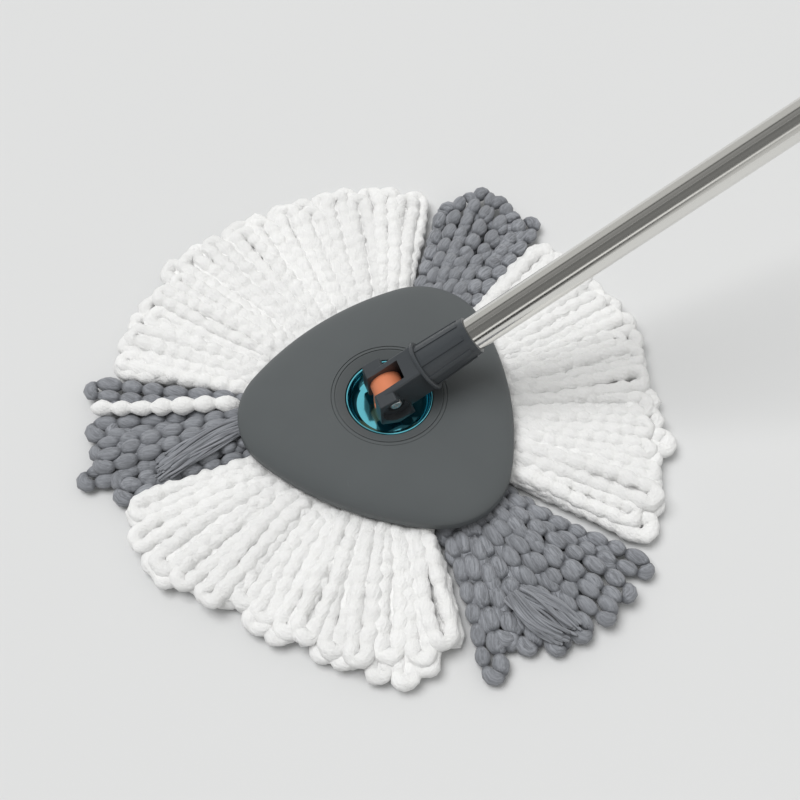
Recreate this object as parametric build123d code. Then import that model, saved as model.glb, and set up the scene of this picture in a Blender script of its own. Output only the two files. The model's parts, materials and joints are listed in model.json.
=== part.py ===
"""Spin mop: a triangular head with a yarn skirt, a swivelling and tilting joint, and a telescopic handle.

Millimetres. The origin is where the swivel axis meets the floor, +Z is up and +X is the way the handle
leans. The hinge pin lies along Y. Handle pieces are drawn upright, about local Z with the pin at the
local origin, and are then leaned over by lean().
"""
from build123d import *
import os
from math import cos, radians, sin, sqrt

# Head plate: a triangle with bowed sides and rounded corners
PLATE_TIP = 100.0          # centre to the outermost point of a corner
PLATE_SIDE_R = 200.0       # radius of a bowed side
PLATE_CORNER_R = 46.0      # radius of a corner
FIRST_CORNER = 46.4        # direction of one corner, degrees from +X
CORNERS = [FIRST_CORNER + 120 * i for i in range(3)]
SIDES = [corner + 60 for corner in CORNERS]
WALL = 2.5                 # shell thickness
DOME_TIP = 40.0            # the same three sizes where the dome meets its flat top
DOME_SIDE_R = 44.0
DOME_CORNER_R = 38.0
DOME_STEPS = 12

# Levels, from the floor up
PAD_TOP = 12.2
FRAME_Z = 15.0             # underside of the base frame
FRAME_TOP = 19.5
SKIRT_Z = 20.0             # lower edge of the shell
RIM_Z = 24.5               # where the shell's edge turns into the dome
RING_Z = 36.5              # flat top of the shell and hub ring
PIN_Z = 42.5               # hinge pin

# Yarn, each tuft or sector as (middle direction, span, reach), in degrees and millimetres
GREY_TUFTS = [(47.0, 25.0, 207.0), (164.5, 28.0, 205.0), (287.0, 40.0, 194.0)]
WHITE_SECTORS = [(105.0, 91.0, 204.0), (222.75, 88.5, 189.0), (350.75, 87.5, 191.0)]
YARN_TOP = 19.7
YARN_INNER = 34.3
TIP_TOP = 12.0             # height of the strands' free ends
SEAM = 0.3                 # gap between two sectors, degrees

# Hub and bearing
HUB_R = 38.0
HUB_GAP = 0.15             # hub ring to shell
WELL_R = 34.2              # hole through the shell
BARREL_R = 33.9            # hub wall that fills it
HUB_Z = 16.0
LEDGE_Z = 34.0
COVER_Z = 14.0
RACE_OUTER = 16.0
RACE_BORE = 8.0
RACE_TOP = 23.0
BALL_R = 2.4
BALL_PITCH = 11.9          # radius of the ring of ball centres
BALL_COUNT = 9
RUN = 0.05                 # radial clearance of a running fit

# Swivel cup and knuckle
CUP_R = 28.4
CUP_RIM_Z = 34.0
CUP_FLOOR_Z = 25.6
CUP_FOOT_Z = 24.35
CUP_FLAT_R = 21.5
KNUCKLE_R = 10.5
KNUCKLE_HALF = 6.75

# Fork and socket, along the handle from the pin
PIN_R = 2.5
EAR_IN = 6.9
ARM_OUT = 11.0
EAR_OUT = 17.0
ARM_HALF = 14.0
# The ears' corners, across the handle and along it; they pass 1 mm over the cup
EAR_CORNERS = ((-14.8, -5.7), (3.6, -15.5), (13.6, -6.6), (13.2, 6.0), (-13.2, 6.0))
POCKET_AT = 12.4           # floor of the round pocket in each ear
POCKET_R = 10.6
SEAT_AT = 10.7             # where the hinge screw's head and its nut sit
SEAT_R = 6.3
WEB_AT = 17.0
STOP_AT = 4.95             # rib on the underside that meets the knuckle's stem and stops the handle
STOP_IN = 9.6
FLANGE_AT = 27.5
FLANGE_R = 17.5
SOCKET_AT = 30.0
SOCKET_END = 65.5
SOCKET_R = (14.2, 12.8)    # at the flange and at the mouth
TUBE_AT = 33.5             # where the tube bottoms in the socket
SCREW_AT = 54.0

# Handle, along its length from the pin
LEAN = 60.0                # degrees from upright
LOWER_R = 11.0
UPPER_R = 9.5
TUBE_WALL = 0.5
LOWER_END = 600.0
COLLAR_AT = 560.0
SLEEVE_R = 13.4
SLEEVE_END = 604.0
COLLET_R = 12.0
COLLET_END = 618.0
NUT_AT = 578.0
NUT_END = 640.0
NUT_R = 16.0
UPPER_AT = 120.0
GRIP_AT = 640.4
GRIP_END = 785.0
GRIP_R = 15.0
HANG_AT = 815.0
HANG_R = 7.0


# ---- helpers -------------------------------------------------------------------------------------------

def tube(outer, inner, z0, z1):
    """Round tube about Z from z0 to z1."""
    return rod(outer, z0, z1) - rod(inner, z0 - 1, z1 + 1)


def rod(radius, z0, z1):
    """Round bar about Z from z0 to z1."""
    return Pos(0, 0, z0) * Cylinder(radius, z1 - z0, align=(Align.CENTER, Align.CENTER, Align.MIN))


def cross_rod(radius, y0, y1):
    """Round bar about Y from y0 to y1."""
    return Rot(-90, 0, 0) * rod(radius, y0, y1)


def block(x0, x1, y0, y1, z0, z1):
    """Box between two corners."""
    size = Box(x1 - x0, y1 - y0, z1 - z0)
    return Pos((x0 + x1) / 2, (y0 + y1) / 2, (z0 + z1) / 2) * size


def turned(*points):
    """Solid turned about Z from a closed (radius, z) outline."""
    outline = Plane.XZ * Polyline(*points, close=True)
    return revolve(make_face(outline), Axis.Z)


def around(piece, radius, angles):
    """Copies of a piece, moved out to a radius and turned to each angle."""
    return [Rot(0, 0, angle) * Pos(radius, 0, 0) * piece for angle in angles]


def steps(count, start=0.0):
    """Evenly spaced angles of a full turn."""
    return [start + 360 * i / count for i in range(count)]


def lean(piece):
    """Moves a handle piece from its upright drawing place to the leaning handle."""
    return Pos(0, 0, PIN_Z) * Rot(0, LEAN, 0) * piece


def write(name, piece):
    """Writes one sub-part."""
    piece.label = name
    export_step(piece, os.path.join("parts", name + ".step"))


# ---- head ----------------------------------------------------------------------------------------------

def triangle(tip, side_r, corner_r, z):
    """Face with three bowed sides, at height z; tip is the reach of each rounded corner."""
    corner_c = tip - corner_r
    span = side_r - corner_r
    half = radians(60)
    side_c = sqrt(span ** 2 - (corner_c * sin(half)) ** 2) - corner_c * cos(half)
    discs = around(Circle(side_r), -side_c, SIDES)
    face = discs[0] & discs[1] & discs[2]
    return Pos(0, 0, z) * fillet(face.vertices(), corner_r)


def plate_outline(inset, z):
    """The plate's outline, brought in all round by inset."""
    return triangle(PLATE_TIP - inset, PLATE_SIDE_R - inset, PLATE_CORNER_R - inset, z)


def dome(inset, drop, foot):
    """Solid dome with an elliptical rise; inset and drop shrink it, and foot is its lower face."""
    shoulder = RIM_Z - drop
    sections = []
    for i in range(DOME_STEPS + 1):
        turn = radians(90 * i / DOME_STEPS)
        along = 1 - cos(turn)
        tip = PLATE_TIP + (DOME_TIP - PLATE_TIP) * along
        side_r = PLATE_SIDE_R + (DOME_SIDE_R - PLATE_SIDE_R) * along
        corner_r = PLATE_CORNER_R + (DOME_CORNER_R - PLATE_CORNER_R) * along
        rise = (RING_Z - RIM_Z) * sin(turn)
        sections.append(triangle(tip - inset, side_r - inset, corner_r - inset, shoulder + rise))
    edge = extrude(plate_outline(inset, foot), shoulder - foot)
    return edge + loft(sections)


def screw_places():
    """Centres of the shell screws, as (radius, angle)."""
    return [(72, angle) for angle in CORNERS] + [(58, angle) for angle in SIDES]


def at_screws(piece):
    """Copies of a piece at each shell screw."""
    return [Rot(0, 0, angle) * Pos(radius, 0, 0) * piece for radius, angle in screw_places()]


def head_shell():
    """Domed cover with a ledge for the hub and screw bosses inside."""
    outer = dome(0, 0, SKIRT_Z)
    shell = outer - dome(WALL, WALL, SKIRT_Z - 1)
    shell += rod(42, 27.5, RING_Z - 1)
    bosses = at_screws(tube(4.5, 1.6, FRAME_TOP, RING_Z) - rod(1.6, 0, 29))
    for boss in bosses:
        shell += boss & dome(0, 0, FRAME_TOP)
    shell -= rod(WELL_R, 0, RING_Z + 1)
    shell -= rod(HUB_R + HUB_GAP, LEDGE_Z, RING_Z + 1)
    return shell


def base_frame():
    """Flat frame that carries the yarn, screwed up into the shell."""
    frame = extrude(plate_outline(WALL + 0.6, FRAME_Z), FRAME_TOP - FRAME_Z)
    frame -= rod(36, 0, RING_Z)
    for hole in at_screws(rod(1.7, 0, RING_Z) + rod(3.6, 0, FRAME_Z + 2)):
        frame -= hole
    return frame


def shell_screws():
    """Self-tapping screws between the base frame and the shell."""
    screw = rod(3.4, FRAME_Z + 0.2, FRAME_Z + 2) + rod(1.6, FRAME_Z + 1, 28)
    screw -= block(-2, 2, -0.4, 0.4, 0, FRAME_Z + 0.9) + block(-0.4, 0.4, -2, 2, 0, FRAME_Z + 0.9)
    return Compound(children=at_screws(screw))


def yarn(middle, span, reach):
    """One tuft or sector of the yarn skirt: a solid of its outer shape, lying on the floor."""
    outline = Plane.XZ * Polyline(
        (YARN_INNER, 0), (reach - 3, 0), (reach, TIP_TOP / 2), (reach - 3, TIP_TOP),
        (reach - 30, 16), (PLATE_TIP + 4, YARN_TOP), (YARN_INNER, YARN_TOP), close=True)
    sector = revolve(make_face(outline), Axis.Z, span - SEAM)
    sector = Rot(0, 0, middle - (span - SEAM) / 2) * sector
    return sector - extrude(plate_outline(0, FRAME_Z - 0.3), YARN_TOP)


def centre_pad():
    """Round pad of yarn under the hub."""
    return fillet(rod(YARN_INNER - 0.3, 0, PAD_TOP).edges().group_by(Axis.Z)[-1], 2)


# ---- hub and bearing -----------------------------------------------------------------------------------

def hub_ring():
    """Turned ring that drops into the shell: flange, tongued wall, web and bearing collar."""
    ring = turned(
        (HUB_R - 3.2, RING_Z), (CUP_R + 0.5, CUP_RIM_Z), (CUP_R + 0.5, 31.5), (31.4, 29.5),
        (31.4, HUB_Z + 3.5), (RACE_OUTER + 3.5, HUB_Z + 3.5), (RACE_OUTER + 3.5, HUB_Z + 7.5),
        (RACE_OUTER, HUB_Z + 7.5), (RACE_OUTER, HUB_Z), (BARREL_R, HUB_Z), (BARREL_R, LEDGE_Z),
        (HUB_R, LEDGE_Z), (HUB_R, RING_Z))
    ring = chamfer(ring.edges().group_by(Axis.Z)[-1].sort_by(SortBy.RADIUS)[-1], 0.5)
    ring -= tube(35.9, 35.2, RING_Z - 0.7, RING_Z + 1)
    for slot in around(block(-3, 3, -0.5, 0.5, 20.5, 31), 33, steps(12, 10)):
        ring -= slot
    for boss in around(rod(3.2, HUB_Z, HUB_Z + 8), 25, steps(4, 45)):
        ring += boss
    for hole in around(rod(1.3, 0, HUB_Z + 7), 25, steps(4, 45)):
        ring -= hole
    return ring


def hub_cover():
    """Plate that holds the bearing in its pocket."""
    cover = tube(30, 11.2, COVER_Z, HUB_Z)
    for hole in around(rod(1.3, 0, RING_Z) + rod(2.8, 0, COVER_Z + 1.2), 25, steps(4, 45)):
        cover -= hole
    return cover


def hub_screws():
    """Screws of the hub cover."""
    screw = rod(2.6, COVER_Z + 0.1, COVER_Z + 1.2) + rod(1.3, COVER_Z + 1, HUB_Z + 6)
    screw -= block(-1.6, 1.6, -0.3, 0.3, 0, COVER_Z + 0.7)
    return Compound(children=around(screw, 25, steps(4, 45)))


def ball_track():
    """Ring-shaped space that the balls roll in."""
    return Pos(0, 0, (HUB_Z + RACE_TOP) / 2) * Torus(BALL_PITCH, BALL_R + RUN)


def bearing_outer_race():
    """Outer race, held by the hub."""
    return tube(RACE_OUTER, BALL_PITCH + 1.6, HUB_Z, RACE_TOP) - ball_track()


def bearing_inner_race():
    """Inner race, held by the knuckle's shaft."""
    return tube(BALL_PITCH - 1.6, RACE_BORE, HUB_Z, RACE_TOP) - ball_track()


def bearing_balls():
    """Ring of steel balls."""
    ball = Pos(0, 0, (HUB_Z + RACE_TOP) / 2) * Sphere(BALL_R)
    return Compound(children=around(ball, BALL_PITCH, steps(BALL_COUNT)))


# ---- swivel --------------------------------------------------------------------------------------------

def swivel_cup():
    """Flat-floored cup around the knuckle, with a rounded rim."""
    bore = RACE_BORE + 0.02
    inner_lip, outer_lip = (CUP_R - 1.6, CUP_RIM_Z - 0.8), (CUP_R, CUP_RIM_Z - 0.8)
    skirt, foot = (CUP_R, CUP_RIM_Z - 2.4), (CUP_FLAT_R, CUP_FOOT_Z)
    outline = [
        Line((bore, CUP_FLOOR_Z), (CUP_FLAT_R, CUP_FLOOR_Z)),
        ThreePointArc((CUP_FLAT_R, CUP_FLOOR_Z), (CUP_R - 3, CUP_FLOOR_Z + 2.6), inner_lip),
        ThreePointArc(inner_lip, (CUP_R - 0.8, CUP_RIM_Z), outer_lip),
        Line(outer_lip, skirt),
        ThreePointArc(skirt, (CUP_R - 1.5, CUP_FOOT_Z + 2.7), foot),
        Line(foot, (10.2, CUP_FOOT_Z)),
        Line((10.2, CUP_FOOT_Z), (10.2, RACE_TOP)),
        Line((10.2, RACE_TOP), (bore, RACE_TOP)),
        Line((bore, RACE_TOP), (bore, CUP_FLOOR_Z)),
    ]
    return revolve(make_face(Plane.XZ * Curve(children=outline)), Axis.Z)


def knuckle():
    """Barrel for the hinge pin on a square stem, with a round shaft down through the bearing."""
    body = cross_rod(KNUCKLE_R, -KNUCKLE_HALF, KNUCKLE_HALF)
    body = Pos(0, 0, PIN_Z) * body
    body += block(-9, 9, -KNUCKLE_HALF, KNUCKLE_HALF, CUP_FLOOR_Z, PIN_Z)
    body = fillet(body.edges().filter_by(Axis.Z), 1.5)
    body += rod(9.8, CUP_FLOOR_Z, CUP_FLOOR_Z + 0.5)
    body += rod(RACE_BORE, HUB_Z + 0.1, CUP_FLOOR_Z)
    body -= Pos(0, 0, PIN_Z) * cross_rod(PIN_R + RUN, -20, 20)
    return body - rod(2, 0, 26)


def stem_washer():
    """Washer that clamps the inner race to the shaft."""
    return tube(10.3, 2, HUB_Z - 1.4, HUB_Z)


def stem_screw():
    """Screw in the foot of the shaft."""
    screw = rod(4.2, HUB_Z - 3.3, HUB_Z - 1.4) + rod(2, HUB_Z - 1.5, 25)
    slot = block(-2.6, 2.6, -0.5, 0.5, 0, HUB_Z - 2.3)
    return screw - slot - Rot(0, 0, 90) * slot


# ---- lower handle, drawn upright -----------------------------------------------------------------------

def socket_body():
    """Tapered socket with raised ribs along it."""
    length = SOCKET_END - SOCKET_AT
    base = Pos(0, 0, SOCKET_AT + length / 2)
    foot, mouth = SOCKET_R
    body = base * Cone(foot, mouth, length)
    proud = base * Cone(foot + 0.7, mouth + 0.7, length)
    rib = block(0, 20, -1.5, 1.5, SOCKET_AT, SOCKET_END - 4)
    for one in around(rib, 0, steps(8, 22.5)):
        body += proud & one
    return body


def ears():
    """The fork's two ears: square-ended blocks around the pin, thicker than the arms they end."""
    outline = Polyline(*EAR_CORNERS, close=True)
    ear = extrude(make_face(Plane.XZ * outline), EAR_OUT, both=True)
    ear = fillet(ear.edges().filter_by(Axis.Y).sort_by(Axis.X)[-1], 5)
    ear = fillet(ear.edges().filter_by(Axis.Y).sort_by(Axis.X)[:3], 1.6)
    return fillet(ear.faces().filter_by(Axis.Y).edges(), 0.6)


def fork():
    """Two arms on a web with their ears, a stop rib under them, a round flange and the tube's socket."""
    body = block(-ARM_HALF, ARM_HALF, -ARM_OUT, ARM_OUT, 0, FLANGE_AT)
    body = fillet(body.edges().filter_by(Axis.Z), 1.5)
    body += ears()
    body -= block(-20, 20, -EAR_IN, EAR_IN, -20, WEB_AT)
    body += block(STOP_IN, ARM_HALF, -EAR_IN, EAR_IN, STOP_AT, WEB_AT)
    flange = rod(FLANGE_R, FLANGE_AT, SOCKET_AT)
    body += fillet(flange.edges(), 0.9)
    body += socket_body()
    body -= rod(LOWER_R, TUBE_AT, SOCKET_END + 1)
    body -= cross_rod(PIN_R, -20, 20)
    body -= cross_rod(POCKET_R, -20, -POCKET_AT) + cross_rod(POCKET_R, POCKET_AT, 20)
    body -= cross_rod(SEAT_R, -20, -SEAT_AT)
    body -= Rot(-90, 0, 0) * Pos(0, 0, SEAT_AT) * extrude(RegularPolygon(4.1, 6), 10)
    body -= Pos(0, 0, SCREW_AT) * Rot(0, 90, 0) * (rod(1.5, 0, 20) + rod(3.2, 12.9, 20))
    return body


def hinge_screw():
    """Cross-head screw that is the hinge pin."""
    screw = fillet(cross_rod(3.9, -SEAT_AT - 2.4, -SEAT_AT).edges().sort_by(Axis.Y)[0], 1.0)
    screw += cross_rod(PIN_R, -SEAT_AT - 0.8, SEAT_AT + 2.6)
    slot = block(-2.2, 2.2, -20, -SEAT_AT - 1.2, -0.45, 0.45)
    return screw - slot - Rot(0, 90, 0) * slot


def hinge_nut():
    """Hexagonal nut, sunk in the far ear."""
    nut = Rot(-90, 0, 0) * Pos(0, 0, SEAT_AT) * extrude(RegularPolygon(4.05, 6), 2.5)
    return nut - cross_rod(PIN_R, -20, 20)


def lower_tube():
    """Steel tube that stands in the socket."""
    pipe = tube(LOWER_R, LOWER_R - TUBE_WALL, TUBE_AT, LOWER_END)
    return pipe - Pos(0, 0, SCREW_AT) * Rot(0, 90, 0) * rod(1.5, 0, 20)


def socket_screw():
    """Screw through the socket's wall into the tube, on the underside."""
    screw = rod(3, 12.9, 14.4) + rod(1.5, 8.8, 13) - block(-2, 2, -0.4, 0.4, 13.8, 20)
    return Pos(0, 0, SCREW_AT) * Rot(0, 90, 0) * screw


def collar_base():
    """Sleeve fixed on the lower tube, with a slotted collet that guides the upper tube."""
    collar = turned(
        (LOWER_R, COLLAR_AT), (NUT_R - 0.6, COLLAR_AT + 3), (NUT_R - 0.6, NUT_AT - 0.4),
        (SLEEVE_R, NUT_AT - 0.4), (SLEEVE_R, SLEEVE_END), (COLLET_R, SLEEVE_END),
        (COLLET_R, COLLET_END), (UPPER_R + RUN, COLLET_END), (UPPER_R + RUN, LOWER_END),
        (LOWER_R, LOWER_END))
    for slot in around(block(0, 20, -0.6, 0.6, SLEEVE_END + 2, COLLET_END + 1), 0, steps(4)):
        collar -= slot
    return collar


# ---- lock nut, drawn upright ---------------------------------------------------------------------------

def lock_nut():
    """Fluted nut that squeezes the collet when it is turned."""
    nut = turned(
        (SLEEVE_R + RUN, NUT_AT), (NUT_R, NUT_AT), (NUT_R, NUT_AT + 34), (NUT_R - 3, NUT_END - 2),
        (NUT_R - 5, NUT_END), (UPPER_R + 0.3, NUT_END), (UPPER_R + 0.3, COLLET_END + 1),
        (COLLET_R + 0.1, COLLET_END + 1), (COLLET_R + 0.1, SLEEVE_END + 0.5),
        (SLEEVE_R + RUN, SLEEVE_END + 0.5))
    for flute in around(rod(1.6, NUT_AT + 5, NUT_AT + 32), NUT_R + 0.8, steps(12)):
        nut -= flute
    return nut


# ---- upper handle, drawn upright -----------------------------------------------------------------------

def upper_tube():
    """Steel tube that slides in the lower one."""
    return tube(UPPER_R, UPPER_R - TUBE_WALL, UPPER_AT, GRIP_END)


def expander():
    """Bush at the foot of the upper tube that runs in the lower tube."""
    inner = UPPER_R - TUBE_WALL
    bush = turned(
        (0, UPPER_AT - 14), (8, UPPER_AT - 14), (LOWER_R - TUBE_WALL - RUN, UPPER_AT - 11),
        (LOWER_R - TUBE_WALL - RUN, UPPER_AT), (inner, UPPER_AT), (inner, UPPER_AT + 30),
        (0, UPPER_AT + 30))
    return bush - tube(12, 9.6, UPPER_AT - 7, UPPER_AT - 4)


def grip():
    """Hand grip with shallow finger waves."""
    waves = 7
    pitch = (GRIP_END - 8 - (GRIP_AT + 8)) / waves
    crests = []
    for i in range(waves):
        low = GRIP_AT + 8 + pitch * i
        crests += [(GRIP_R - 0.9, low), (GRIP_R - 0.2, low + pitch * 0.3), (GRIP_R - 0.2, low + pitch * 0.7)]
    crests.append((GRIP_R - 0.9, GRIP_END - 8))
    profile = [
        Line((UPPER_R, GRIP_END), (UPPER_R, GRIP_AT)),
        Line((UPPER_R, GRIP_AT), (GRIP_R - 2, GRIP_AT)),
        Line((GRIP_R - 2, GRIP_AT), (GRIP_R - 0.9, GRIP_AT + 8)),
        Spline(*crests),
        Line((GRIP_R - 0.9, GRIP_END - 8), (GRIP_R - 0.9, GRIP_END)),
        Line((GRIP_R - 0.9, GRIP_END), (UPPER_R, GRIP_END)),
    ]
    body = revolve(make_face(Plane.XZ * Curve(children=profile)), Axis.Z)
    return body - tube(20, GRIP_R - 1.5, GRIP_END - 6.5, GRIP_END - 2.5)


def grip_band():
    """Coloured band let into the top of the grip."""
    return tube(GRIP_R - 0.5, GRIP_R - 1.5, GRIP_END - 6.5, GRIP_END - 2.5)


def end_cap():
    """Plug and cap that close the handle, with a flat hanging loop."""
    cap = rod(UPPER_R - TUBE_WALL, GRIP_END - 20, GRIP_END)
    cap += fillet(rod(GRIP_R - 0.5, GRIP_END, GRIP_END + 9).edges().sort_by(Axis.Z)[-1], 2)
    loop = cross_rod(13, -4.5, 4.5)
    loop = Pos(0, 0, HANG_AT) * loop + block(-13, 13, -4.5, 4.5, GRIP_END + 5, HANG_AT)
    loop = chamfer(loop.edges().filter_by(GeomType.CIRCLE), 1.2)
    cap += loop
    return cap - Pos(0, 0, HANG_AT) * cross_rod(HANG_R, -20, 20)


# ---- assembly ------------------------------------------------------------------------------------------

def main():
    """Builds every sub-part and writes it."""
    os.makedirs("parts", exist_ok=True)
    standing = {
        "head_shell": head_shell, "base_frame": base_frame, "shell_screws": shell_screws,
        "centre_pad": centre_pad, "hub_ring": hub_ring, "hub_cover": hub_cover,
        "hub_screws": hub_screws, "bearing_outer_race": bearing_outer_race,
        "bearing_balls": bearing_balls, "bearing_inner_race": bearing_inner_race,
        "swivel_cup": swivel_cup, "knuckle": knuckle, "stem_washer": stem_washer,
        "stem_screw": stem_screw,
    }
    leaning = {
        "fork": fork, "hinge_screw": hinge_screw, "hinge_nut": hinge_nut, "lower_tube": lower_tube,
        "socket_screw": socket_screw, "collar_base": collar_base, "lock_nut": lock_nut,
        "upper_tube": upper_tube, "expander": expander, "grip": grip, "grip_band": grip_band,
        "end_cap": end_cap,
    }
    for name, make in standing.items():
        write(name, make())
    for name, make in leaning.items():
        write(name, lean(make()))
    for i in range(3):
        write(f"yarn_grey_{i + 1}", yarn(*GREY_TUFTS[i]))
        write(f"yarn_white_{i + 1}", yarn(*WHITE_SECTORS[i]))


main()
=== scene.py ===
"""Spin mop: looped yarn, finishes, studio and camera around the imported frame.

Metres. The origin is where the swivel axis meets the floor, +Z is up, and +X is the way the handle leans.
"""

import json
import math
import random

import bmesh
import bpy
import numpy as np
from mathutils import Matrix, Vector, noise


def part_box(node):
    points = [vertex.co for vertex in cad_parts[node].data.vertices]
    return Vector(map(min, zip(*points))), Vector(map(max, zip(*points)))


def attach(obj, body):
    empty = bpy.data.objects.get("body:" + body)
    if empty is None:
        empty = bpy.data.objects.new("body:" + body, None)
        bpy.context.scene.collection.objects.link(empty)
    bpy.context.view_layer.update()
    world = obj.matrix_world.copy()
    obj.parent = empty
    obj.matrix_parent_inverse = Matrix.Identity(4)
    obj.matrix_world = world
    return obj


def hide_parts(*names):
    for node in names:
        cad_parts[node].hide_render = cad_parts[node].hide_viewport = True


bl_info = {
    "name": "Spin Mop",
    "version": (1, 0, 0),
    "blender": (4, 5, 0),
    "location": "3D View > Sidebar > Spin Mop",
    "description": "Looped yarn, finishes, studio and camera for a spin mop",
    "category": "Object",
}

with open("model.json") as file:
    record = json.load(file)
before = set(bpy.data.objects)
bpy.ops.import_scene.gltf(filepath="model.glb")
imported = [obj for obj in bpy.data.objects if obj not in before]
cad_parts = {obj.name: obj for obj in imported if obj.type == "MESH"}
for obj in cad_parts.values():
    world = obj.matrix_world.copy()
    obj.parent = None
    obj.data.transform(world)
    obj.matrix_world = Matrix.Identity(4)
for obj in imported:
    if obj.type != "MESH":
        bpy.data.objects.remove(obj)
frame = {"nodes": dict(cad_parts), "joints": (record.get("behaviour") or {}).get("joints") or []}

NODES = frame["nodes"]
MM = 0.001


# ---- measures taken from the frame -----------------------------------------------------------------------

def points_of(node):
    """A CAD node's vertices as an array."""
    mesh = NODES[node].data
    flat = np.empty(len(mesh.vertices) * 3)
    mesh.vertices.foreach_get("co", flat)
    return flat.reshape(-1, 3)


def joint(name):
    """A joint of the frame by name."""
    return next(j for j in frame["joints"] if j["name"] == name)


def sweep_of(node):
    """The middle direction, half span (both in radians) and reach of a yarn node."""
    points = points_of(node)
    middle = math.atan2(points[:, 1].mean(), points[:, 0].mean())
    angles = np.arctan2(points[:, 1], points[:, 0]) - middle
    angles = (angles + math.pi) % (2 * math.pi) - math.pi
    low, high = angles.min(), angles.max()
    return middle + (low + high) / 2, (high - low) / 2, np.hypot(points[:, 0], points[:, 1]).max()


def rim_outline():
    """The shell's rim as sorted angles and radii."""
    points = points_of("head_shell")
    radii = np.hypot(points[:, 0], points[:, 1])
    rim = points[(abs(points[:, 2] - RIM_LEVEL) < 0.2 * MM) & (radii > RIM_INSIDE)]
    angles = np.arctan2(rim[:, 1], rim[:, 0])
    order = np.argsort(angles)
    return angles[order], np.hypot(rim[order, 0], rim[order, 1])


RIM_LEVEL = 24.5 * MM      # height of the rim's widest line
RIM_INSIDE = 70 * MM       # all of the rim is farther out than this
RIM_ANGLES, RIM_RADII = rim_outline()
HANDLE_AXIS = Vector(joint("telescope")["axis"])


def rim_radius(angle):
    """How far the shell's rim is from the swivel axis in a direction."""
    return float(np.interp(angle, RIM_ANGLES, RIM_RADII, period=2 * math.pi))


# ---- settings --------------------------------------------------------------------------------------------

def colour_prop(name, description, default):
    """A colour setting."""
    return bpy.props.FloatVectorProperty(
        name=name, description=description, default=default, subtype="COLOR", min=0, max=1)


def length_prop(name, description, default):
    """A length setting, in metres."""
    return bpy.props.FloatProperty(
        name=name, description=description, default=default, unit="LENGTH", subtype="DISTANCE", precision=4)


class MopColours(bpy.types.PropertyGroup):
    """Colours of the mop's finishes."""

    head_grey: colour_prop("Head grey", "Moulded shell and hub", (0.092, 0.101, 0.104))
    frame_grey: colour_prop("Frame grey", "Base frame and covers", (0.075, 0.08, 0.084))
    joint_grey: colour_prop("Joint grey", "Fork, socket and lock nut", (0.05, 0.056, 0.062))
    grip_grey: colour_prop("Grip grey", "Hand grip and end cap", (0.07, 0.075, 0.08))
    cup_blue: colour_prop("Cup blue", "Swivel cup and grip band", (0.22, 0.80, 0.97))
    knuckle_orange: colour_prop("Knuckle orange", "Knuckle of the tilting joint", (0.72, 0.24, 0.12))
    yarn_white: colour_prop("White yarn", "Yarn on the sides of the head", (0.95, 0.95, 0.945))
    yarn_grey: colour_prop("Grey yarn", "Yarn at the corners of the head", (0.25, 0.26, 0.282))
    steel: colour_prop("Steel", "Handle tubes", (0.78, 0.77, 0.74))
    zinc: colour_prop("Zinc", "Screws and nut", (0.62, 0.62, 0.63))
    bright_zinc: colour_prop("Bright zinc", "Hinge screw", (0.9, 0.9, 0.9))


class YarnSettings(bpy.types.PropertyGroup):
    """Sizes of the looped yarn."""

    white_pitch: length_prop("White bead pitch", "From one pinch to the next", 11.5 * MM)
    white_bead: length_prop("White bead radius", "Radius at the middle of a bead", 5.6 * MM)
    white_neck: length_prop("White neck radius", "Radius at a pinch", 4.5 * MM)
    white_gap: length_prop("White spacing", "Strand to strand at the loops' ends", 8.8 * MM)
    grey_pitch: length_prop("Grey bead pitch", "From one pinch to the next", 15.0 * MM)
    grey_bead: length_prop("Grey bead radius", "Radius at the middle of a bead", 5.1 * MM)
    grey_neck: length_prop("Grey neck radius", "Radius at a pinch", 1.8 * MM)
    grey_gap: length_prop("Grey spacing", "Strand to strand at the loops' ends", 10.0 * MM)
    seed: bpy.props.IntProperty(name="Seed", description="Start of the random lie of the loops", default=7)


class StageSettings(bpy.types.PropertyGroup):
    """Floor, light, surroundings and camera."""

    floor: colour_prop("Floor", "Colour of the floor", (0.685, 0.69, 0.692))
    key_strength: bpy.props.FloatProperty(
        name="Key light", description="Watts per square metre of the soft overhead light", default=2.2)
    sky: bpy.props.FloatProperty(name="Sky", description="Strength of the surroundings", default=1.0)
    azimuth: bpy.props.FloatProperty(
        name="Camera azimuth", description="0 looks along +Y", default=math.radians(-21.2), subtype="ANGLE")
    elevation: bpy.props.FloatProperty(
        name="Camera elevation", description="Above the horizon", default=math.radians(58.6), subtype="ANGLE")
    distance: length_prop("Camera distance", "From the middle of the head", 0.8)
    lens: bpy.props.FloatProperty(
        name="Lens", description="Focal length in millimetres", default=54.5, subtype="DISTANCE_CAMERA")


# ---- shader arithmetic -----------------------------------------------------------------------------------

class Value:
    """A shader socket that Python arithmetic can be written on; each operation adds a Math node."""

    def __init__(self, finish, socket):
        self.finish = finish
        self.socket = socket

    def _math(self, operation, left, right):
        return self.finish.node("ShaderNodeMath", {"operation": operation}, {0: left, 1: right})

    def __add__(self, other):
        return self._math("ADD", self, other)

    def __radd__(self, other):
        return self._math("ADD", other, self)

    def __sub__(self, other):
        return self._math("SUBTRACT", self, other)

    def __rsub__(self, other):
        return self._math("SUBTRACT", other, self)

    def __mul__(self, other):
        return self._math("MULTIPLY", self, other)

    def __rmul__(self, other):
        return self._math("MULTIPLY", other, self)


def socket_name(key):
    """The shader's name for a socket written with underscores."""
    return key.replace("_", " ").title().replace("Ior", "IOR")


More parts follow.
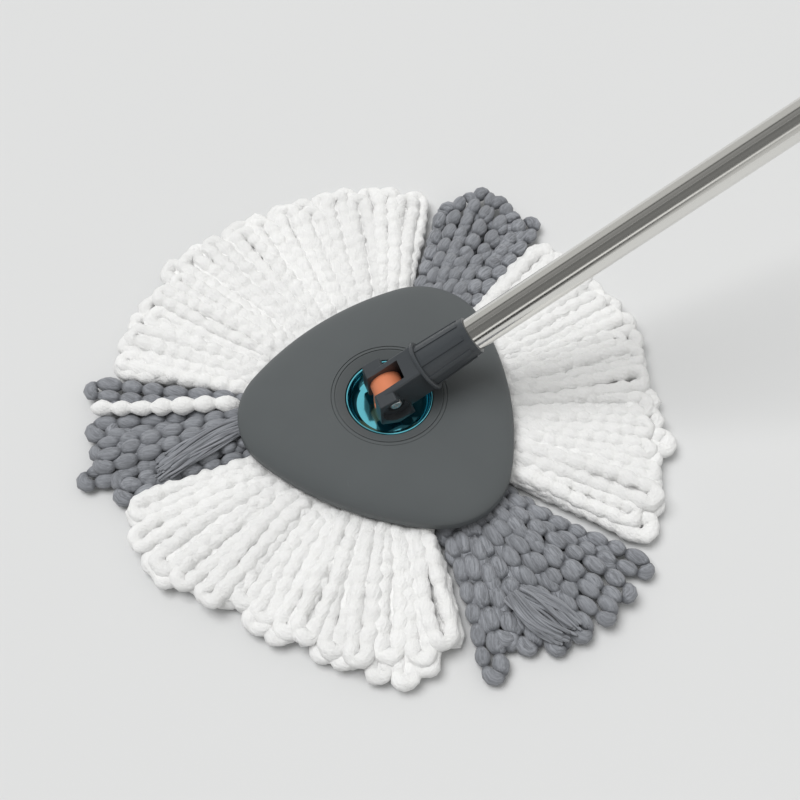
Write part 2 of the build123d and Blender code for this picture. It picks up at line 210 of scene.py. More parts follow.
class Nodes:
    """A node tree that values are worked out in."""

    def __init__(self, tree):
        self.tree = tree

    def node(self, kind, settings=None, inputs=None, output=0):
        """Adds a node, sets it up, fills or links its inputs and returns one output."""
        made = self.tree.nodes.new(kind)
        for key, value in (settings or {}).items():
            setattr(made, key, value)
        for key, value in (inputs or {}).items():
            if isinstance(value, Value):
                self.tree.links.new(value.socket, made.inputs[key])
            else:
                made.inputs[key].default_value = value
        return Value(self, made.outputs[output])

    def scaled(self, vector, factors):
        """A vector multiplied part by part."""
        return self.node("ShaderNodeVectorMath", {"operation": "MULTIPLY"}, {0: vector, 1: factors})

    def dot(self, vector, direction):
        """How far a vector points along a direction."""
        return self.node("ShaderNodeVectorMath", {"operation": "DOT_PRODUCT"}, {0: vector, 1: direction}, 1)

    def noise(self, vector, scale, detail=2.0, roughness=0.5):
        """Noise from 0 to 1."""
        return self.node("ShaderNodeTexNoise", None, {
            "Vector": vector, "Scale": scale, "Detail": detail, "Roughness": roughness})

    def between(self, value, low, high):
        """A value remapped from low..high to 0..1, smoothly and clamped."""
        return self.node("ShaderNodeMapRange", {"interpolation_type": "SMOOTHSTEP"}, {
            "Value": value, "From Min": low, "From Max": high})

    def mix(self, factor, first, second):
        """A mix of two colours."""
        return self.node("ShaderNodeMix", {"data_type": "RGBA"}, {0: factor, 6: first, 7: second}, 2)


class Finish(Nodes):
    """A material under construction, with a Principled shader."""

    def __init__(self, name, **constants):
        self.material = bpy.data.materials.new(name)
        self.material.use_nodes = True
        super().__init__(self.material.node_tree)
        self.shader = self.tree.nodes["Principled BSDF"]
        for key, value in constants.items():
            self.shader.inputs[socket_name(key)].default_value = value

    def place(self):
        """Object coordinates."""
        return self.node("ShaderNodeTexCoord", output="Object")

    def attribute(self, name, output):
        """A mesh attribute: output Fac for a number, Vector for a vector."""
        return self.node("ShaderNodeAttribute", {"attribute_name": name}, output=output)

    def bump(self, height, strength, distance):
        """A bumped normal."""
        return self.node("ShaderNodeBump", None, {
            "Height": height, "Strength": strength, "Distance": distance})

    def feed(self, **links):
        """Links values to the shader's sockets and returns the material."""
        for key, value in links.items():
            self.tree.links.new(value.socket, self.shader.inputs[socket_name(key)])
        return self.material


def rgba(colour, gain=1.0):
    """A colour with a gain, as four numbers."""
    return tuple(min(1.0, part * gain) for part in colour) + (1.0,)


# ---- finishes --------------------------------------------------------------------------------------------

def moulded(name, colour, roughness, grain, scuff):
    """Moulded plastic: fine grain, cloudy roughness and faint rubbed scuffs."""
    finish = Finish(name, specular_ior_level=0.5)
    place = finish.place()
    cloud = finish.noise(place, 34.0, 3.0)
    fine = finish.noise(place, 2400.0, 2.0, 0.6)
    drift = finish.noise(finish.scaled(place, (1.0, 0.16, 1.0)), 420.0, 3.0, 0.7)
    rub = finish.between(drift, 0.62, 0.74) * finish.between(cloud, 0.45, 0.7)
    base = finish.mix(cloud, rgba(colour, 0.93), rgba(colour, 1.07))
    base = finish.mix(rub * scuff, base, rgba(colour, 1.6))
    rough = roughness - 0.05 + 0.1 * cloud + 0.05 * fine - 0.08 * rub
    normal = finish.bump(fine, grain, 0.12 * MM)
    return finish.feed(base_color=base, roughness=rough, normal=normal)


def metallised(name, colour):
    """Bright metallised plastic with a clear skin and faint hairlines from wiping."""
    finish = Finish(name, metallic=1.0)
    place = finish.place()
    cloud = finish.noise(place, 60.0, 3.0)
    hair = finish.noise(finish.scaled(place, (1.0, 0.06, 1.0)), 900.0, 2.0, 0.7)
    base = finish.mix(cloud, rgba(colour, 0.94), rgba(colour, 1.06))
    rough = 0.07 + 0.05 * cloud + 0.05 * finish.between(hair, 0.58, 0.72)
    normal = finish.bump(cloud, 0.05, 0.3 * MM)
    return finish.feed(base_color=base, roughness=rough, normal=normal)


def polished_tube(name, colour):
    """Polished stainless tube with fine draw lines along its length."""
    finish = Finish(name, metallic=1.0)
    lean = math.atan2(HANDLE_AXIS.x, HANDLE_AXIS.z)
    along = finish.node("ShaderNodeMapping", None, {"Vector": finish.place(), "Rotation": (0, -lean, 0)})
    lines = finish.noise(finish.scaled(along, (1.0, 1.0, 0.01)), 2600.0, 2.0, 0.6)
    smear = finish.noise(finish.scaled(along, (1.0, 1.0, 0.3)), 40.0, 3.0)
    base = finish.mix(smear, rgba(colour, 0.95), rgba(colour, 1.04))
    rough = 0.09 + 0.07 * smear + 0.05 * lines
    normal = finish.bump(lines, 0.10, 0.02 * MM)
    return finish.feed(base_color=base, roughness=rough, normal=normal)


def plated(name, colour, roughness):
    """Zinc-plated or ground steel with a crystalline mottle."""
    finish = Finish(name, metallic=1.0)
    place = finish.place()
    mottle = finish.noise(place, 1500.0, 2.0)
    base = finish.mix(mottle, rgba(colour, 0.85), rgba(colour, 1.1))
    return finish.feed(
        base_color=base, roughness=roughness + 0.12 * mottle, normal=finish.bump(mottle, 0.1, 0.05 * MM))


def yarn_finish(name, colour, painted_pinch_shade, contrast, fluff):
    """Microfibre yarn: filaments along each strand with a slight lay, and shade painted into the pinches.

    Painted pinch shade is the colour painted into the pinches to stand for their shade, contrast the
    difference between filaments, and fluff raises tufts.
    """
    finish = Finish(name, sheen_weight=0.2, sheen_roughness=0.6, specular_ior_level=0.2)
    fibre = finish.attribute("fibre", "Vector")
    bulge = finish.attribute("bulge", "Fac")
    tone = finish.attribute("tone", "Fac")
    threads = finish.noise(finish.scaled(fibre, (1.0, 1.0, 0.06)), 1000.0, 3.0, 0.65)
    bundles = finish.noise(finish.scaled(fibre, (1.0, 1.0, 0.09)), 380.0, 2.0)
    streak = finish.between(threads, 0.36, 0.64) * 0.6 + finish.between(bundles, 0.38, 0.62) * 0.4
    base = finish.mix(streak, rgba(colour, 1 - contrast), rgba(colour, 1 + contrast))
    # Painted shade: the pinches between beads take the painted shade colour in place of real crease shade.
    base = finish.mix(finish.between(bulge, 0.0, 0.7), rgba(painted_pinch_shade), base)
    base = finish.mix(tone * 0.5, base, rgba(colour, 0.85))
    tufts = finish.noise(fibre, 520.0, 4.0, 0.7)
    normal = finish.bump(threads * 0.4 + bundles + tufts * fluff, 0.6, 1.2 * MM)
    return finish.feed(base_color=base, roughness=0.86 + 0.1 * threads, normal=normal)


def floor_finish(colour):
    """Pale painted board."""
    finish = Finish("floor_board", roughness=0.6, specular_ior_level=0.2)
    cloud = finish.noise(finish.place(), 1.6, 2.0)
    return finish.feed(base_color=finish.mix(cloud, rgba(colour, 0.985), rgba(colour, 1.015)))


def coat(material, *names):
    """Gives CAD nodes a finish."""
    for name in names:
        slots = NODES[name].data.materials
        slots.clear()
        slots.append(material)


# ---- yarn ------------------------------------------------------------------------------------------------

SIDES = 14                 # facets round a strand
BEAD_RINGS = 8             # rings in one bead
LUMP_SCALE = 160           # lumps per metre, nearly, on a soft strand
LUMP_SIZE = 0.3            # height of the lumps on the softest strand, in radii
TWIST = 60.0               # lay of the fibres, in radians per metre
PLAIN_BULGE = 0.6          # fullness given to a strand without beads
FLOOR_GAP = 0.1 * MM       # least height of any yarn
TUCKED = 8.8 * MM          # height of a strand under the plate
FILAMENT = 0.9 * MM        # radius of a loose bunch of fibres
FILAMENTS = 44             # such bunches in a bundle
BEND = 9 * MM              # from the rim, and from a leg's free end, to the leg's nearest point
UNDER_START = 37 * MM      # where the loops on the floor start, from the swivel axis
TOP_START = 70 * MM        # where the highest loops start
GREY_UNTIDY = 3 * MM       # how untidy the grey tufts are

# Grey loops seen from above, one row each: degrees from the tuft's middle at the plate and at the free
# end, and millimetres of reach, height at the plate's edge and height at the end.
GREY_LOOPS = {
    "yarn_grey_1": (
        (8.5, 8.0, 188, 10, 7), (5.0, 4.5, 200, 13.5, 9), (1.5, 1.5, 207, 15, 10.5),
        (-2.5, -2.5, 204, 14, 9.5), (-6.0, -6.5, 196, 13, 8), (-9.5, -10.0, 199, 10.5, 6.5)),
    "yarn_grey_2": (
        (-10.5, -11.6, 204, 12.5, 8.5), (-4.5, -3.0, 199, 10, 6.5), (-1.5, 2.0, 196, 11, 7),
        (-4.5, 5.0, 194, 15, 10), (0.5, 7.6, 205, 8, 5.6), (3.5, 12.4, 184, 9.5, 5.6)),
    "yarn_grey_3": (
        (-12.5, -18.0, 191, 9, 5.6), (-9.5, -13.0, 172, 12, 7), (-6.5, -9.5, 183, 9, 5.6),
        (-3.5, -5.0, 193, 10, 5.6), (0.0, 0.0, 195, 13, 7), (3.0, 5.5, 197, 14.5, 9),
        (6.5, 10.5, 196, 15, 9.5), (10.5, 17.5, 196, 11.5, 6.5)),
}

# How untidy each white side is, and its reach at even steps along it, as shares of its CAD node's reach.
WHITE_REACHES = (
    (5 * MM, (0.97, 1.0, 1.01, 1.0, 1.03, 0.99, 0.98)),
    (7 * MM, (1.03, 1.03, 0.93, 0.93, 1.02, 0.93)),
    (5 * MM, (1.0, 1.02, 0.98, 0.99, 1.01, 0.99)))


def smooth_line(points):
    """Points along the NURBS curve that has these control points."""
    curve = bpy.data.curves.new("route", "CURVE")
    curve.dimensions = "3D"
    spline = curve.splines.new("NURBS")
    spline.points.add(len(points) - 1)
    for point, place in zip(spline.points, points):
        point.co = (*place, 1.0)
    spline.order_u = 3
    spline.use_endpoint_u = True
    spline.resolution_u = 10
    holder = bpy.data.objects.new("route", curve)
    mesh = bpy.data.meshes.new_from_object(holder)
    line = np.array([vertex.co for vertex in mesh.vertices], float)
    bpy.data.meshes.remove(mesh)
    bpy.data.objects.remove(holder)
    bpy.data.curves.remove(curve)
    return line


def bead_stations(length, pitch, soft, dice):
    """Distances of a strand's rings along it, and how full the bead is at each: 0 at a pinch, 1 midway."""
    stations, bulges = [], []
    start = -dice.uniform(0, pitch)
    while start < length:
        size = pitch * dice.uniform(0.85, 1.15)
        for k in range(BEAD_RINGS):
            place = -math.cos(math.pi * k / BEAD_RINGS)
            at = start + (place + 1) / 2 * size
            if 0 <= at <= length:
                firm = 0.4 * math.sqrt(1 - place * place) + 0.6 * math.cos(math.pi * place / 2)
                smooth = 0.5 + 0.5 * math.cos(math.pi * place)
                stations.append(at)
                bulges.append(firm + (smooth - firm) * soft)
        start += size
    return np.array(stations), np.array(bulges)


def frames_along(line, stations):
    """Centres and two side directions at each station of a line."""
    steps = np.linalg.norm(np.diff(line, axis=0), axis=1)
    at = np.concatenate([[0], np.cumsum(steps)])
    centres = np.stack([np.interp(stations, at, line[:, i]) for i in range(3)], 1)
    ahead = np.gradient(centres, axis=0)
    ahead /= np.linalg.norm(ahead, axis=1)[:, None]
    side = np.cross(ahead, (0.0, 0.0, 1.0))
    side /= np.linalg.norm(side, axis=1)[:, None] + 1e-9
    return centres, side, np.cross(side, ahead)


def straight_strand(rings):
    """A closed straight rod of that many rings, from z 0 to rings - 1, as a bmesh."""
    rod = bmesh.new()
    bmesh.ops.create_cone(rod, cap_ends=True, segments=SIDES, radius1=1, radius2=1, depth=rings - 1)
    bmesh.ops.translate(rod, verts=rod.verts, vec=(0, 0, (rings - 1) / 2))
    long_edges = [e for e in rod.edges if abs(e.verts[0].co.z - e.verts[1].co.z) > 0.5]
    bmesh.ops.subdivide_edges(rod, edges=long_edges, cuts=rings - 2, use_grid_fill=True)
    return rod


class Strand:
    """The size of one kind of strand, bent along routes into a mesh; soft beads have no sharp pinches."""

    def __init__(self, pitch, bead, neck, dice, soft=0.0):
        self.pitch, self.bead, self.neck = pitch, bead, neck
        self.dice = dice
        self.soft = soft

    def add_to(self, whole, route):
        """Adds a strand to a bmesh, with its fibre, bulge and tone attributes."""
        line = smooth_line(route)
        length = np.linalg.norm(np.diff(line, axis=0), axis=1).sum()
        pitch = self.pitch * self.dice.uniform(0.9, 1.1)
        stations, bulges = bead_stations(length, pitch, self.soft, self.dice)
        centres, side, up = frames_along(line, stations)
        if self.bead == self.neck:
            bulges = np.full_like(bulges, PLAIN_BULGE)
        radii = (self.neck + (self.bead - self.neck) * bulges) * self.swell(stations)
        rounding = 1 - np.clip((length - stations) / self.bead, 0, 1)
        radii = radii * np.maximum(np.sqrt(1 - rounding * rounding), 0.3)
        rod = straight_strand(len(stations))
        across = np.array([vertex.co for vertex in rod.verts], float)
        ring = np.rint(across[:, 2]).astype(int)
        cosine, sine = across[:, 0], across[:, 1]
        flat = 1 + self.dice.uniform(0, 0.1)
        offset = side[ring] * (cosine * flat)[:, None] + up[ring] * (sine / flat)[:, None]
        offset = offset * radii[ring, None]
        place = centres[ring] + offset
        if self.soft:
            lumps = np.array([noise.fractal(Vector(point) * LUMP_SCALE, 0.6, 2.0, 2) for point in place])
            place += offset * (lumps[:, None] * LUMP_SIZE * self.soft)
        place[:, 2] = np.maximum(place[:, 2], FLOOR_GAP)
        twist = np.arctan2(sine, cosine) + stations[ring] * TWIST
        start = self.dice.uniform(0, 9)
        radius = radii[ring]
        fibre = np.stack([np.cos(twist) * radius, np.sin(twist) * radius, stations[ring] + start], 1)
        fibre_layer = rod.verts.layers.float_vector.new("fibre")
        bulge_layer = rod.verts.layers.float.new("bulge")
        tone_layer = rod.verts.layers.float.new("tone")
        tone = self.dice.random()
        for i, vertex in enumerate(rod.verts):
            vertex.co = place[i]
            vertex[fibre_layer] = fibre[i]
            vertex[bulge_layer] = bulges[ring[i]]
            vertex[tone_layer] = tone
        mesh = bpy.data.meshes.new("strand")
        rod.to_mesh(mesh)
        rod.free()
        whole.from_mesh(mesh)
        bpy.data.meshes.remove(mesh)

    def swell(self, stations):
        """Uneven thickness from bead to bead."""
        knots = np.arange(0, stations[-1] + self.pitch, self.pitch)
        sizes = [self.dice.uniform(0.88, 1.08) for _ in knots]
        return np.interp(stations, knots, sizes)


def polar(angle, radius, height):
    """A point at an angle and radius about the swivel axis."""
    return (radius * math.cos(angle), radius * math.sin(angle), height)


class Loop:
    """The lie of one loop of yarn: out from under the plate, round its free end and back."""

    def __init__(self, base, end, reach, lift, low, start, width):
        self.base, self.end = base, end            # directions at the plate's edge and at the free end
        self.reach, self.start = reach, start      # where it ends and where it starts
        self.lift, self.low = lift, low            # heights at the plate's edge and at the free end
        self.width = width                         # between its legs at the free end
        self.bow = 0.0                             # sideways bend of the whole loop

    def leg(self, side, dice, stray):
        """Control points of one leg, from under the plate outwards."""
        edge = rim_radius(self.base)
        free = self.reach - edge
        tucked = min(self.lift, TUCKED)
        # Each stop is a radius, a height and the share of the way from the plate to the free end.
        stops = [(self.start, tucked, 0.0),
                 (edge - BEND, tucked, 0.0),
                 (edge + BEND, self.lift, 0.12),
                 (edge + free * 0.33, self.lift * 0.6 + self.low * 0.4, 0.4),
                 (edge + free * 0.62, self.lift * 0.15 + self.low * 0.85, 0.75),
                 (self.reach - BEND, self.low, 1.0)]
        route = []
        for radius, height, share in stops:
            apart = side * self.width * (0.3 + 0.2 * share)
            sway = self.bow * math.sin(math.pi * share) + dice.uniform(-stray, stray) * share
            turn = self.base + (self.end - self.base) * share
            route.append(polar(turn + (apart + sway) / radius, radius, height + abs(sway) * 0.2))
        return route

    def route(self, dice, stray):
        """Control points of the whole loop."""
        tip = [polar(self.end + side * self.width * 0.42 / self.reach, self.reach, self.low)
               for side in (-1, 1)]
        return self.leg(-1, dice, stray) + tip + self.leg(1, dice, stray)[::-1]


def spread_loops(node, strand, gap, layer, untidy, reaches=(1.0, 1.0)):
    """Loops laid side by side over a yarn node's span.

    A layer is how much shorter its loops are, their heights at the plate and at the end, where they start,
    how many there are and how wide each is. Reaches are shares of the node's reach, evenly over its span.
    """
    middle, half, reach = sweep_of(node)
    shorter, lift, low, start, full, wide = layer
    dice = strand.dice
    count = max(2, round(half * (reach - shorter) / gap * full))
    loops = []
    for i in range(count):
        share = (2 * i + 1) / count - 1
        width = gap * dice.uniform(0.8, 1.25) * wide
        free = reach * np.interp(share, np.linspace(-1, 1, len(reaches)), reaches)
        free -= shorter + strand.bead + abs(dice.gauss(0, 1)) * untidy
        inner = half - (0.5 * width + 0.1 * gap) / free
        end = middle + share * inner + dice.uniform(-0.5, 0.5) * untidy / free
        height = dice.uniform(-1, 1) * 1.6 * MM if lift > low else 0.0
        lowest = max(low + height, strand.bead)
        loop = Loop(middle + share * inner, end, free, lift + height, lowest, start, width)
        loop.bow = dice.uniform(-1, 1) * untidy * 0.5
        loops.append(loop)
    return loops


def lay(whole, strand, loops, untidy):
    """Adds a strand to a bmesh for each loop."""
    for loop in loops:
        strand.add_to(whole, loop.route(strand.dice, untidy * 0.35))


def finish_piece(whole, name, material, slot, body, *nodes):
    """Turns a bmesh into a smooth piece that rides on a body and stands for CAD nodes."""
    bmesh.ops.recalc_face_normals(whole, faces=whole.faces)
    for face in whole.faces:
        face.smooth = True
    mesh = bpy.data.meshes.new(name)
    whole.to_mesh(mesh)
    whole.free()
    mesh.materials.append(material)
    piece = bpy.data.objects.new(name, mesh)
    bpy.context.scene.collection.objects.link(piece)
    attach(piece, body)
    if nodes:
        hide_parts(*nodes)


# ---- operators -------------------------------------------------------------------------------------------

class MOP_OT_plastics(bpy.types.Operator):
    """Give the moulded parts their finishes"""

    bl_idname = "mop.plastics"
    bl_label = "Plastics"

    def execute(self, context):
        colours = context.scene.mop_colours
        coat(moulded("head_grey", colours.head_grey, 0.5, 0.35, 0.22), "head_shell", "hub_ring")
        coat(moulded("frame_grey", colours.frame_grey, 0.55, 0.4, 0.3), "base_frame", "hub_cover", "expander")
        coat(moulded("joint_grey", colours.joint_grey, 0.36, 0.25, 0.35), "fork", "collar_base", "lock_nut")
        coat(moulded("grip_grey", colours.grip_grey, 0.6, 0.6, 0.4), "grip", "end_cap")
        coat(moulded("knuckle_orange", colours.knuckle_orange, 0.4, 0.2, 0.1), "knuckle")
        coat(metallised("cup_blue", colours.cup_blue), "swivel_cup", "grip_band")
        return {"FINISHED"}


class MOP_OT_metals(bpy.types.Operator):
    """Give the tubes, screws and bearing their finishes"""

    bl_idname = "mop.metals"
    bl_label = "Metals"

    def execute(self, context):
        colours = context.scene.mop_colours
        coat(polished_tube("polished_steel", colours.steel), "lower_tube", "upper_tube")
        coat(plated("hinge_plate", colours.bright_zinc, 0.42), "hinge_screw")
        coat(plated("zinc_plate", colours.zinc, 0.28), "hinge_nut", "socket_screw",
             "shell_screws", "hub_screws", "stem_washer", "stem_screw")
        coat(plated("bearing_steel", colours.zinc, 0.12), "bearing_outer_race", "bearing_inner_race",
             "bearing_balls")
        return {"FINISHED"}


class MOP_OT_white_yarn(bpy.types.Operator):
    """Lay the white loops along the sides of the head"""

    bl_idname = "mop.white_yarn"
    bl_label = "White yarn"

    def execute(self, context):
        yarn = context.scene.mop_yarn
        # The white pinches get a faint painted shade.
        material = yarn_finish("white_microfibre", context.scene.mop_colours.yarn_white,
                               painted_pinch_shade=(0.93, 0.93, 0.92), contrast=0.03, fluff=2.4)
        floor = yarn.white_bead + 0.2 * MM
        layers = (
            (9 * MM, floor, floor, UNDER_START, 0.8, 1.0),
            (0.0, 11.5 * MM, floor + 2 * MM, 64 * MM, 0.95, 1.3),
            (5 * MM, 14.0 * MM, floor + 6 * MM, TOP_START, 0.85, 1.2))
        for i, (untidy, reaches) in enumerate(WHITE_REACHES):
            strand = Strand(
                yarn.white_pitch, yarn.white_bead, yarn.white_neck, random.Random(yarn.seed + i), 0.8)
            node = f"yarn_white_{i + 1}"
            whole = bmesh.new()
            for layer in layers:
                loops = spread_loops(node, strand, yarn.white_gap, layer, untidy, reaches)
                lay(whole, strand, loops, untidy)
            finish_piece(whole, f"white_loops_{i + 1}", material, "yarn_white", "head", node)
        return {"FINISHED"}


class MOP_OT_grey_yarn(bpy.types.Operator):
    """Lay the grey tufts at the corners of the head"""

    bl_idname = "mop.grey_yarn"
    bl_label = "Grey yarn"

    def execute(self, context):
        yarn = context.scene.mop_yarn
        # The grey pinches get a near-black painted shade.
        material = yarn_finish("grey_microfibre", context.scene.mop_colours.yarn_grey,
                               painted_pinch_shade=(0.04, 0.043, 0.05), contrast=0.4, fluff=0.0)
        floor = yarn.grey_bead + 0.2 * MM
        under = (12 * MM, floor, floor, UNDER_START, 0.85, 1.0)
        for i, (node, rows) in enumerate(GREY_LOOPS.items()):
            middle = sweep_of(node)[0]
            dice = random.Random(yarn.seed + 10 + i)
            strand = Strand(yarn.grey_pitch, yarn.grey_bead, yarn.grey_neck, dice)
            whole = bmesh.new()
            loops = spread_loops(node, strand, yarn.grey_gap, under, GREY_UNTIDY)
            for base, end, reach, lift, low in rows:
                loops.append(Loop(
                    middle + math.radians(base), middle + math.radians(end), reach * MM, lift * MM,
                    low * MM, TOP_START, yarn.grey_gap))
            lay(whole, strand, loops, GREY_UNTIDY)
            finish_piece(whole, f"grey_loops_{i + 1}", material, "yarn_grey", "head", node)
        return {"FINISHED"}


class MOP_OT_strays(bpy.types.Operator):
    """Lay the stray white strand and the bundles of loose filament over the grey tufts"""

    bl_idname = "mop.strays"
    bl_label = "Stray strands"

    def execute(self, context):
        yarn = context.scene.mop_yarn
        dice = random.Random(yarn.seed + 30)
        left = sweep_of("yarn_grey_2")[0]
        strand = Strand(yarn.white_pitch * 1.2, yarn.white_bead * 1.04, yarn.white_neck * 0.7, dice, 0.4)
        base, end = left - math.radians(8.4), left - math.radians(7.2)
        route = [polar(base, 72 * MM, TUCKED), polar(base, 92 * MM, 9.5 * MM), polar(base, 108 * MM, 18 * MM),
                 polar(end, 135 * MM, 17 * MM), polar(end + 0.01, 170 * MM, 14 * MM),
                 polar(end, 201 * MM, 11 * MM)]
        whole = bmesh.new()
        strand.add_to(whole, route)
        finish_piece(whole, "white_stray", bpy.data.materials["white_microfibre"], "yarn_white", "head")
        right = sweep_of("yarn_grey_3")[0]
        # Each bundle is its directions at the start and the end, where both are, its height and half width.
        bundles = (
            (left + math.radians(-0.5), left + math.radians(11.0), 92 * MM, 160 * MM, 15 * MM, 9 * MM),
            (right - math.radians(7.5), right - math.radians(2.0), 150 * MM, 193 * MM, 15 * MM,
             13 * MM))
        for i, bundle in enumerate(bundles):
            whole = bmesh.new()
            lay_filaments(whole, Strand(12 * MM, FILAMENT, FILAMENT, dice), *bundle)
            finish_piece(
                whole, f"filaments_{i + 1}", bpy.data.materials["grey_microfibre"], "yarn_grey", "head")
        return {"FINISHED"}


def lay_filaments(whole, strand, base, end, start, reach, height, width):
    """Adds a fanned bundle of loose filament, pinched at its start."""
    dice = strand.dice
    for _ in range(FILAMENTS):
        share = dice.uniform(-1, 1)
        depth = dice.uniform(0.2, 1.0)
        longer = dice.uniform(0.82, 1.0)
        phase = dice.uniform(0, 2 * math.pi)
        steps = 6
        route = []
        for step in range(steps + 1):
            along = step / steps * longer
            radius = start + (reach - start) * along
            apart = share * width * (0.4 + 0.6 * math.sin(math.pi * (0.12 + 0.68 * along)))
            turn = base + (end - base) * along
            wave = math.sin(phase + along * 6) * 1.6 * MM
            rise = math.sqrt(1 - share * share) * depth * 5 * MM
            level = height + rise - 6 * MM * along * along
            route.append(polar(turn + (apart + wave) / radius, radius, level))
        strand.add_to(whole, route)


class MOP_OT_pad(bpy.types.Operator):
    """Coil the yarn pad under the hub"""

    bl_idname = "mop.pad"
    bl_label = "Centre pad"

    def execute(self, context):
        yarn = context.scene.mop_yarn
        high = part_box("centre_pad")[1]
        dice = random.Random(yarn.seed + 20)
        strand = Strand(yarn.white_pitch, yarn.white_bead, yarn.white_neck, dice, 1.0)
        inner, outer = 3 * MM, high.x - yarn.white_bead
        height = yarn.white_bead + 0.3 * MM
        turns = 2.6
        steps = 34
        route = []
        for i in range(steps + 1):
            share = i / steps
            route.append(polar(turns * 2 * math.pi * share, inner + (outer - inner) * share, height))
        whole = bmesh.new()
        strand.add_to(whole, route)
        finish_piece(whole, "pad_coil", bpy.data.materials["white_microfibre"], "yarn_white", "head",
                     "centre_pad")
        return {"FINISHED"}


# The studio's panels: place from front (0) to back (1), and brightness.
PANELS = (
    (0.01, 0.03), (0.05, 0.03), (0.058, 0.95), (0.09, 0.95), (0.115, 0.16), (0.30, 0.2), (0.44, 0.15),
    (0.475, 0.15), (0.49, 0.4), (0.505, 0.4), (0.52, 0.22), (0.72, 0.3), (0.76, 0.12), (0.79, 0.12),
    (0.83, 0.57))
KEY_DIRECTION = (-0.8, 0.56, 2.4)      # towards the overhead light
KEY_SPREAD = math.radians(40)          # how wide it looks from the mop
FLOOR_REACH = 40                       # from the floor's middle to each edge


class MOP_OT_stage(bpy.types.Operator):
    """Set up the floor, the light, the surroundings and the camera"""

    bl_idname = "mop.stage"
    bl_label = "Stage"

    def execute(self, context):
        stage = context.scene.mop_stage
        add_floor(stage)
        add_world(context.scene, stage)
        add_light("key", KEY_DIRECTION, KEY_SPREAD, stage.key_strength)
        add_camera(context.scene, stage)
        return {"FINISHED"}


def add_floor(stage):
    """A large pale floor."""
    ground = bmesh.new()
    bmesh.ops.create_grid(ground, x_segments=8, y_segments=8, size=FLOOR_REACH)
    mesh = bpy.data.meshes.new("floor")
    ground.to_mesh(mesh)
    ground.free()
    mesh.materials.append(floor_finish(stage.floor))
    floor = bpy.data.objects.new("floor", mesh)
    bpy.context.scene.collection.objects.link(floor)


def add_world(scene, stage):
    """Pale surroundings; on the side the handle leans away from, long panels give the steel its bands."""
    world = bpy.data.worlds.new("studio")
    world.use_nodes = True
    nodes = Nodes(world.node_tree)
    place = nodes.node("ShaderNodeTexCoord", output="Generated")
    across = nodes.dot(place, (0.0, 0.5, 0.0)) + 0.5
    panels = nodes.node("ShaderNodeValToRGB", None, {"Fac": across})
    ramp = panels.socket.node.color_ramp
    for at, grey in PANELS:
        ramp.elements.new(at).color = (grey, grey, grey * 0.98, 1)
    ramp.elements.remove(ramp.elements[-1])
    ramp.elements.remove(ramp.elements[0])
    side = nodes.between(nodes.dot(place, (-1.0, 0.0, 0.0)), 0.05, 0.25)
    tint = nodes.mix(side, (0.57, 0.57, 0.56, 1), panels)
    backdrop = world.node_tree.nodes["Background"]
    world.node_tree.links.new(tint.socket, backdrop.inputs["Color"])
    backdrop.inputs["Strength"].default_value = stage.sky
    scene.world = world


def add_light(name, direction, spread, strength):
    """A soft light from far away that doesn't show in reflections; spread is the angle it fills."""
    lamp = bpy.data.lights.new(name, "SUN")
    lamp.angle = spread
    lamp.energy = strength
    holder = bpy.data.objects.new(name, lamp)
    holder.rotation_mode = "QUATERNION"
    holder.rotation_quaternion = Vector(direction).to_track_quat("Z", "Y")
    holder.visible_glossy = False
    bpy.context.scene.collection.objects.link(holder)


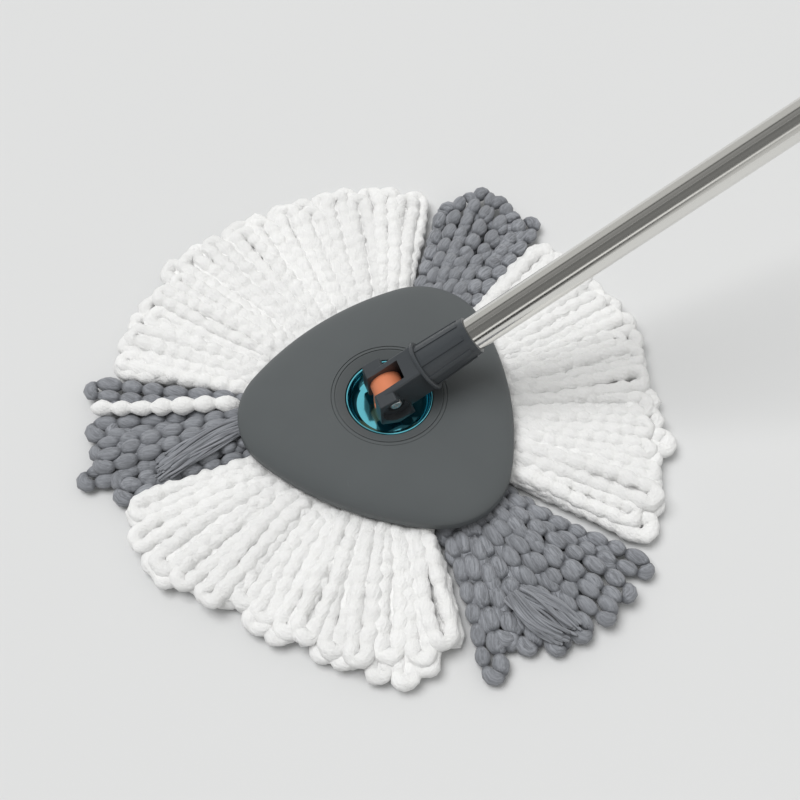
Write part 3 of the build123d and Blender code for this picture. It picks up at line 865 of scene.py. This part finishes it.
def add_camera(scene, stage):
    """A camera that looks down on the head, with the handle leaving the picture."""
    back = Vector((math.sin(stage.azimuth) * math.cos(stage.elevation),
                   -math.cos(stage.azimuth) * math.cos(stage.elevation), math.sin(stage.elevation)))
    right = Vector((math.cos(stage.azimuth), math.sin(stage.azimuth), 0))
    up = back.cross(right)
    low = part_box("head_shell")[0]
    # The camera faces a point just above the shell's lower edge, then moves right and up without turning.
    middle = Vector((0, 0, low.z + 3.5 * MM))
    lens = bpy.data.cameras.new("camera")
    lens.lens = stage.lens
    lens.sensor_width = 36
    lens.clip_start, lens.clip_end = 0.01, 50
    camera = bpy.data.objects.new("camera", lens)
    place = middle + back * stage.distance + right * 7 * MM + up * 3.5 * MM
    turn = Matrix((right, up, back)).transposed().to_4x4()
    camera.matrix_world = Matrix.Translation(place) @ turn
    scene.collection.objects.link(camera)
    scene.camera = camera
    scene.view_settings.view_transform = "Standard"


class MOP_PT_panel(bpy.types.Panel):
    """Buttons and settings for the mop"""

    bl_idname = "MOP_PT_panel"
    bl_label = "Spin Mop"
    bl_space_type = "VIEW_3D"
    bl_region_type = "UI"
    bl_category = "Spin Mop"

    def draw(self, context):
        layout = self.layout
        for operator in OPERATORS:
            layout.operator(operator.bl_idname)
        for group in (context.scene.mop_colours, context.scene.mop_yarn, context.scene.mop_stage):
            box = layout.box()
            for key in group.bl_rna.properties.keys():
                if key not in ("rna_type", "name"):
                    box.prop(group, key)


OPERATORS = (MOP_OT_plastics, MOP_OT_metals, MOP_OT_white_yarn, MOP_OT_grey_yarn, MOP_OT_strays, MOP_OT_pad,
             MOP_OT_stage)
GROUPS = {"mop_colours": MopColours, "mop_yarn": YarnSettings, "mop_stage": StageSettings}


def register():
    """Registers the settings, operators and panel."""
    for name, group in GROUPS.items():
        bpy.utils.register_class(group)
        setattr(bpy.types.Scene, name, bpy.props.PointerProperty(type=group))
    for made in (*OPERATORS, MOP_PT_panel):
        bpy.utils.register_class(made)


def unregister():
    """Takes them out again."""
    for made in (MOP_PT_panel, *reversed(OPERATORS)):
        bpy.utils.unregister_class(made)
    for name, group in GROUPS.items():
        delattr(bpy.types.Scene, name)
        bpy.utils.unregister_class(group)


def main():
    """Builds everything in order."""
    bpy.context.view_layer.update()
    register()
    bpy.ops.mop.plastics()
    bpy.ops.mop.metals()
    bpy.ops.mop.white_yarn()
    bpy.ops.mop.grey_yarn()
    bpy.ops.mop.strays()
    bpy.ops.mop.pad()
    bpy.ops.mop.stage()


if __name__ == "__main__":
    main()
